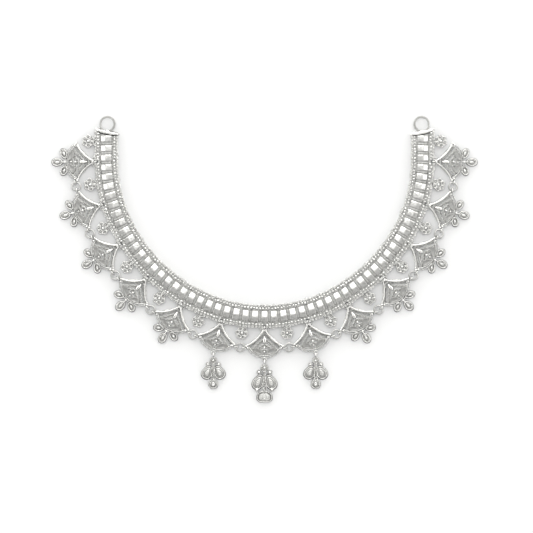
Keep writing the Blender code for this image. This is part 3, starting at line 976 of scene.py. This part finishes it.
def dish(rim, lip=1.2, inner=0.84):
    # back plate with a dark lip that stands out beyond the rim, painted shade as the rim's dark
    # outline, and a light raised middle within it
    plate = [(lip, 0.04), (lip, 0.22), (lip - 0.02, 0.26), (lip - 0.06, 0.265), (0.1, 0.27)]
    raised = [(inner, 0.24), (inner, 0.32), (inner - 0.08, 0.42), (0.1, 0.5)]
    return joined("dish", [shell(rim["points"], plate, "shadowed"),
                           shell(rim["points"], raised, "filigree")])


def fanTrefoil():
    # three filled petals on a stalk, each with a rim, a second loop and a grain inside
    petals = [trefoil["middle"]]
    for side in (-1, 1):
        (x, y), (tipX, tipY), halfWidth, taper = trefoil["side"]
        petals.append(((side * x, y), (side * tipX, tipY), halfWidth, taper))
    rims, loops, dots = [], [], []
    for root, tip, halfWidth, taper in petals:
        root, tip = Vector(root), Vector(tip)
        inset = trefoil["lip"] / (tip - root).length
        root, tip = within(root, tip, inset, inset)
        rims.append(petal(root, tip, halfWidth - trefoil["lip"], 0.65, trefoil["rimGauge"],
                          dome=0.15, taper=taper))
        loops.append(petal(*within(root, tip, 0.25, 0.2), halfWidth * 0.4, 0.52,
                           trefoil["loopGauge"], steps=16, taper=taper))
        dots.append((*root.lerp(tip, 0.56), 0.75, 0.3))
    plates = [dish(rim, lip=1.26, inner=0.8) for rim in rims]
    stalk = wire(trefoil["stalk"], trefoil["stalkGauge"])
    # the second loops are dark lines of painted shade inside the rims
    return [wires(rims + [stalk], "crest"), wires(loops, "shadowed", sides=6),
            grains(dots + [trefoil["knot"]], segments=8)] + plates


def fanMesh(number):
    # the last fans keep only the corner eye on their inner side
    last = abs(number) == hoop["fansPerSide"]
    corners = (1 if number > 0 else -1,) if last else (-1, 1)
    hasTrefoil = abs(number) >= 2
    loops = fanEyes(corners, not hasTrefoil) + mirrored([circle(*fan["knotLoop"], 12)])
    meshes = fanSides(number) + [wires(loops, "crest")] + fanArcs() + fanRibs() + fanBacking()
    meshes += fanHeart() + fanHollows() + fanGrains() + (fanTrefoil() if hasTrefoil else [])
    return joined("fan", meshes)


def sideName(piece, number):
    if number == 0:
        return piece + "_middle"
    return f"{piece}_{'left' if number < 0 else 'right'}_{abs(number)}"


for number, angle in fanAngles.items():
    name = sideName("fan", number)
    finishPiece(name + "_filigree", fanMesh(number), [name], hoopPlace(angle, hoop["pinOut"]))
print("fans made:", len(fanAngles))

# Link rings between the fans' corners

link = {
    "radius": 1.9,
    "gauge": 0.27,
    "spread": 0.2,  # how far its turns stand apart on either side of the radius
    "fall": 0.12,
    "turns": 2.1,
    "stepsPerTurn": 26,
    "sides": 8,
    "firstAngle": 70,
    "nextAngle": 50,  # each ring's joint is turned on from the one before
}


def splitRing(ring, centre, first, apart, direction=1):
    # apart tells where between its inner and outer turn, -1 and 1, the wire is
    points = []
    for share in evenly(0.0, 1.0, round(ring["turns"] * ring["stepsPerTurn"])):
        x, y = around(ring["radius"] + ring["spread"] * apart(share),
                      math.radians(first + direction * 360 * ring["turns"] * share))
        points.append((centre[0] + x, centre[1] + y,
                       hoop["pinHeight"] + ring["fall"] * (1 - 2 * share)))
    # painted shade: the whole ring wire gets a dark finish
    return wires([wire(points, ring["gauge"])], "shadowed", ring["sides"])


for number in range(-hoop["fansPerSide"], hoop["fansPerSide"]):
    name = sideName("link_ring", number if number < 0 else number + 1)
    low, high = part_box(name)
    mesh = splitRing(link, (low + high) / 2 / mm, link["firstAngle"] + link["nextAngle"] * number,
                     lambda share: 2 * share - 1)
    finishPiece(name + "_wire", mesh, [name])
print("link rings made")

# Drops: what hangs on the stem, in millimetres below the bail

drop = {
    # kind, across, down, half width, half length
    "side": (("rosette", 0.0, 2.75, 1.9, 1.9), ("grain", 2.4, 4.5, 1.2, 1.2),
             ("petal", 2.8, 8.1, 2.9, 3.0), ("tear", 0.0, 13.25, 2.5, 2.45)),
    "middle": (("rosette", 0.0, 2.9, 2.0, 2.0), ("grain", 2.4, 4.9, 1.35, 1.35),
               ("petal", 2.95, 9.3, 2.95, 3.4), ("grain", 3.4, 12.8, 1.1, 1.1),
               ("heart", 0.0, 15.95, 4.0, 2.95)),
    "rimGauge": 0.22,
    "loopGauge": 0.16,
    "grainLoop": (0.5, 0.2, 14),  # height, gauge and steps
    "lip": 0.5,  # the back plates show this far outside the rims
    "ringed": 8,  # grains round a rosette's eye
    "stem": (-0.75, 0.0, 0.75),
    "stemGauge": 0.3,
}


def rimmed(rim, loops, loopFinish="shadowed", lip=1.2):
    # a rim with its dish, and the darker lines inside it, which are painted shade
    lines = [wires(loops, loopFinish, sides=6)] if loops else []
    return [wires([rim], "crest")] + lines, dish(rim, lip)


def dropRosette(x, y, w, h):
    # a rim, a ring of grains and a bright eye
    rim, plate = rimmed(oval((x, y), w - drop["lip"], h - drop["lip"], 0.6, drop["rimGauge"]),
                        [])
    ringed = [(x + (w - 1.0) * math.cos(turn), y + (h - 1.0) * math.sin(turn), 0.75, 0.33)
              for turn in anglesRound(drop["ringed"], first=0.5)]
    return rim + [grains(ringed, "worn", segments=8), grains([(x, y, 1.0, 0.5)]), plate]


def dropGrain(x, y, w, h):
    height, gauge, steps = drop["grainLoop"]
    return [grains([(x, y, 0.9, w * 0.45)]),
            wires([circle((x, y), w - 0.3, height, gauge, steps)], "crest")]


def dropPetal(x, y, w, h):
    # a teardrop that hangs outwards from the stem, with a darker line and a grain inside
    side = 1 if x > 0 else -1
    root = Vector((x - side * w * 0.52, y + h * 0.84))
    tip = Vector((x + side * w * 0.4, y - h * 0.84))
    second = petal(*within(root, tip, 0.2, 0.18), w * 0.44, 0.5, drop["loopGauge"], steps=26,
                   taper=0.5)
    curl = petal(*within(root, tip, 0.4, 0.3), w * 0.24, 0.6, drop["loopGauge"], steps=16,
                 taper=0.5)
    rim, plate = rimmed(petal(root, tip, w * 0.8, 0.6, drop["rimGauge"], steps=30, taper=0.4),
                        [second])
    return rim + [wires([curl], "polished", sides=6),
                  grains([(*root.lerp(tip, 0.57), 0.6, 0.25)]), plate]


def dropHeart(x, y, w, h):
    # the lowest lobe: broad and square at the foot, narrower above, with two slanting wires
    def lobe(inset, height, gauge):
        points = []
        for turn in anglesRound(32, first=0.5):
            across, along = math.cos(turn), math.sin(turn)
            across = math.copysign(abs(across) ** 0.65, across) * min(1.0, 0.96 - 0.17 * along)
            along = math.copysign(abs(along) ** 0.75, along)
            points.append((x + (w - inset) * across, y + (h - inset) * along, height))
        return wire(points, gauge, closed=True)

    rim, plate = rimmed(lobe(0.65, 0.65, drop["rimGauge"]), [lobe(1.35, 0.5, drop["loopGauge"])],
                        "aged", lip=1.14)
    strokes = [wire([(x + side * 0.25, y + h * 0.62, 1.1), (x + side * w * 0.28, y, 1.05),
                     (x + side * w * 0.42, y - h * 0.5, 0.9)], 0.2) for side in (-1, 1)]
    return rim + [wires(strokes, "polished", sides=6),
                  grains([(x, y - h * 0.3, 0.95, 0.36)]), plate]


def dropTear(x, y, w, h):
    lip = drop["lip"]
    second = petal((x, y + h * 0.45), (x, y - h + 1.1), w * 0.42, 0.5, drop["loopGauge"],
                   taper=0.3)
    rim, plate = rimmed(petal((x, y + h - lip), (x, y - h + lip), w - lip, 0.65,
                              drop["rimGauge"], steps=28, taper=0.25), [second])
    return rim + [grains([(x, y - h * 0.2, 0.95, 0.45)]), plate]


dropMakers = {"rosette": dropRosette, "grain": dropGrain, "petal": dropPetal,
              "heart": dropHeart, "tear": dropTear}


def dropMesh(rows):
    meshes = []
    for kind, across, down, halfWidth, halfLength in rows:
        for side in ((-1, 1) if across else (1,)):
            meshes += dropMakers[kind](side * across, -down, halfWidth, halfLength)
    (*_, topDown, _, topLength), (*_, lastDown, _, lastLength) = rows[0], rows[-1]
    stem = [wire([(x * 0.4, 0.4 - topDown - topLength, 0.8), (x, lastLength * 0.6 - lastDown, 0.8)],
                 drop["stemGauge"]) for x in drop["stem"]]
    bail = uprightEye((0, 0, hoop["pinHeight"]), (0, 1, 0), fan["eyeRadius"])
    return joined("drop", meshes + [twists(stem, "polished"), wires([bail], "polished")])


for number in (-1, 0, 1):
    name = sideName("drop", number)
    eye = hoopPlace(fanAngles[number], hoop["pinOut"]) @ Vector(
        (0, fan["reach"] + fan["arcEyeRadius"], 0))
    finishPiece(name + "_filigree", dropMesh(drop["side" if number else "middle"]), [name],
                Matrix.Translation((eye.x, eye.y - fan["arcEyeRadius"], 0)))
print("drops made")

# End bars with their rings

endBar = {
    "innerOut": -0.6,
    "outerOut": 10.2,
    "halfWidth": 1.05,
    "height": 2.1,
    "leastHeight": 0.35,  # share of the height that is left at the tips
    "tipHeight": 0.4,
    "gap": 0.3,
    "bow": 0.35,
    "steps": 24,
    "sides": 16,
    # grains at the outer end: out, along, height, radius
    "knot": ((9.9, 0.35, 0.95, 0.6), (9.0, 0.75, 0.9, 0.5), (10.1, -0.7, 1.0, 0.55)),
    "solder": (1.1, 0.75),  # height and radius of the grain under the ring
    # painted shade: the left bar is given a darker finish than the right one
    "finishes": {-1: "worn", 1: "filigree"},
}
endRing = {
    "across": 70.65,
    "up": 16.15,
    "radius": 3.22,
    "gauge": 0.26,
    "spread": 0.24,
    "fall": 0.0,
    "turns": 2.0,
    "stepsPerTurn": 48,
    "sides": 10,
    "firstAngle": 75,  # from straight down
    "crossing": 8,  # how quickly the wire passes from one turn to the other
}


def endBarMesh(end):
    # half-round bar, bowed and swelling to the middle
    point, outwards = hoopFrame(end * 90.0)
    slanted = outwards + Vector((0, hoop["endSlant"], 0))
    across = slanted.normalized().cross(up)
    corner = point + Vector((0, hoop["straightEnd"] + endBar["gap"] + endBar["halfWidth"], 0))
    steps, least = endBar["steps"], endBar["leastHeight"]
    rings = []
    for out, share in zip(evenly(endBar["innerOut"], endBar["outerOut"], steps),
                          evenly(-1.0, 1.0, steps)):
        middle = corner + slanted * out + Vector((0, endBar["bow"] * (share ** 2 - 0.5), 0))
        swell = math.sqrt(max(0.0, 1 - share ** 4))
        wide = across * max(0.05, endBar["halfWidth"] * swell)
        tall = max(0.05, endBar["height"] * (least + (1 - least) * swell))
        if abs(share) == 1:
            tall = endBar["tipHeight"]
        rings.append([middle + wide * math.cos(turn) + up * tall * math.sin(turn)
                      for turn in evenly(0.0, math.pi, endBar["sides"])])
    mesh = loft(rings, endBar["finishes"][end])
    mesh.set_sharp_from_angle(angle=math.radians(60))
    centre = (end * endRing["across"], hoop["centreY"] + endRing["up"])
    loop = splitRing(endRing, centre, end * endRing["firstAngle"] - 90,
                     lambda share: math.tanh(endRing["crossing"] * (share - 0.5)), end)
    joint = grains([(centre[0], centre[1] - endRing["radius"] - 0.1, *endBar["solder"])])
    knot = grains([(corner.x + end * out, corner.y + hoop["endSlant"] * out + along, z, r)
                   for out, along, z, r in endBar["knot"]], "worn")
    return joined("end", [mesh, loop, joint, knot])


for end, side in ((-1, "left"), (1, "right")):
    finishPiece(f"end_bar_{side}_polished", endBarMesh(end), [f"end_bar_{side}"])
print("end bars made")

# Floor, light and camera, all in metres

studio = {
    "floorSize": 6.0,
    "floorDepth": -0.00002,
    "floorShade": 0.93,
    "photoCentre": (0.0009, -0.003175),
    "photoWidth": 0.23985,
    "cameraHeight": 1.1,
}
# the bright surroundings are strongest near the horizon, which gives the soft shadows
surroundings = {"horizon": 5.5, "overhead": 1.0, "bandBottom": 0.05, "bandTop": 0.44,
                "lean": 0.5, "sideShade": 0.68, "sideFrom": 0.14, "sideTo": 0.28}
# each softbox: place, width and depth, brightness of its face; all face straight down
softboxes = {
    "tiles": ((0.0, 0.115, 0.45), (0.15, 0.054), 1.25),
    "back": ((0.0, 0.24, 0.45), (0.16, 0.19), 2.4),
    "left": ((-0.156, 0.05, 0.21), (0.045, 0.06), 1.25),
    "right": ((0.156, 0.05, 0.21), (0.045, 0.06), 1.25),
}


def addFloor():
    half, depth = studio["floorSize"] / 2, studio["floorDepth"]
    mesh = bpy.data.meshes.new("floor")
    mesh.from_pydata([(-half, -half, depth), (half, -half, depth), (half, half, depth),
                      (-half, half, depth)], [], [(0, 1, 2, 3)])
    material = bpy.data.materials.new("pale floor")
    material.use_nodes = True
    shader = material.node_tree.nodes["Principled BSDF"]
    shader.inputs["Base Color"].default_value = (*(studio["floorShade"],) * 3, 1.0)
    shader.inputs["Roughness"].default_value = 0.85
    shader.inputs["Specular IOR Level"].default_value = 0.1
    mesh.materials.append(material)
    addObject("floor", mesh)


def addSurroundings():
    world = bpy.data.worlds.new("studio")
    bpy.context.scene.world = world
    world.use_nodes = True
    tree = world.node_tree
    direction = addNode(tree, "ShaderNodeTexCoord").outputs["Generated"]
    x, y, z = addNode(tree, "ShaderNodeSeparateXYZ", {"Vector": direction}).outputs
    # overhead it is darker towards the sides and the front, so that silver shows its slopes
    sideways = addNode(tree, "ShaderNodeCombineXYZ",
                       {"X": x, "Y": calculated(tree, "MINIMUM", y, 0.0)})
    tilt = addNode(tree, "ShaderNodeVectorMath", {0: sideways.outputs[0]}, operation="LENGTH")
    overhead, lean = surroundings["overhead"], surroundings["lean"]
    shade = ranged(tree, tilt.outputs["Value"], surroundings["sideFrom"],
                   surroundings["sideTo"], overhead, overhead * surroundings["sideShade"])
    fade = ranged(tree, z, surroundings["bandBottom"], surroundings["bandTop"],
                  surroundings["horizon"], shade, interpolation_type="SMOOTHSTEP")
    strength = calculated(tree, "MULTIPLY", fade, ranged(tree, y, -1.0, 1.0, 1 - lean, 1 + lean))
    background = tree.nodes["Background"]
    background.inputs["Color"].default_value = (1.0, 1.0, 0.99, 1.0)
    tree.links.new(strength, background.inputs["Strength"])


def addLights():
    for name, (place, size, brightness) in softboxes.items():
        light = bpy.data.lights.new(name, "AREA")
        light.shape = "RECTANGLE"
        light.size, light.size_y = size
        light.energy = brightness * math.pi * size[0] * size[1]
        addObject(name, light).location = place


def addCamera():
    camera = addObject("camera", bpy.data.cameras.new("camera"))
    camera.location = (*studio["photoCentre"], studio["cameraHeight"])
    camera.data.lens = camera.data.sensor_width * studio["cameraHeight"] / studio["photoWidth"]
    camera.data.clip_start = 0.01
    bpy.context.scene.camera = camera


addFloor()
addSurroundings()
addLights()
addCamera()
bpy.context.scene.view_settings.view_transform = "Standard"
print("studio set up")
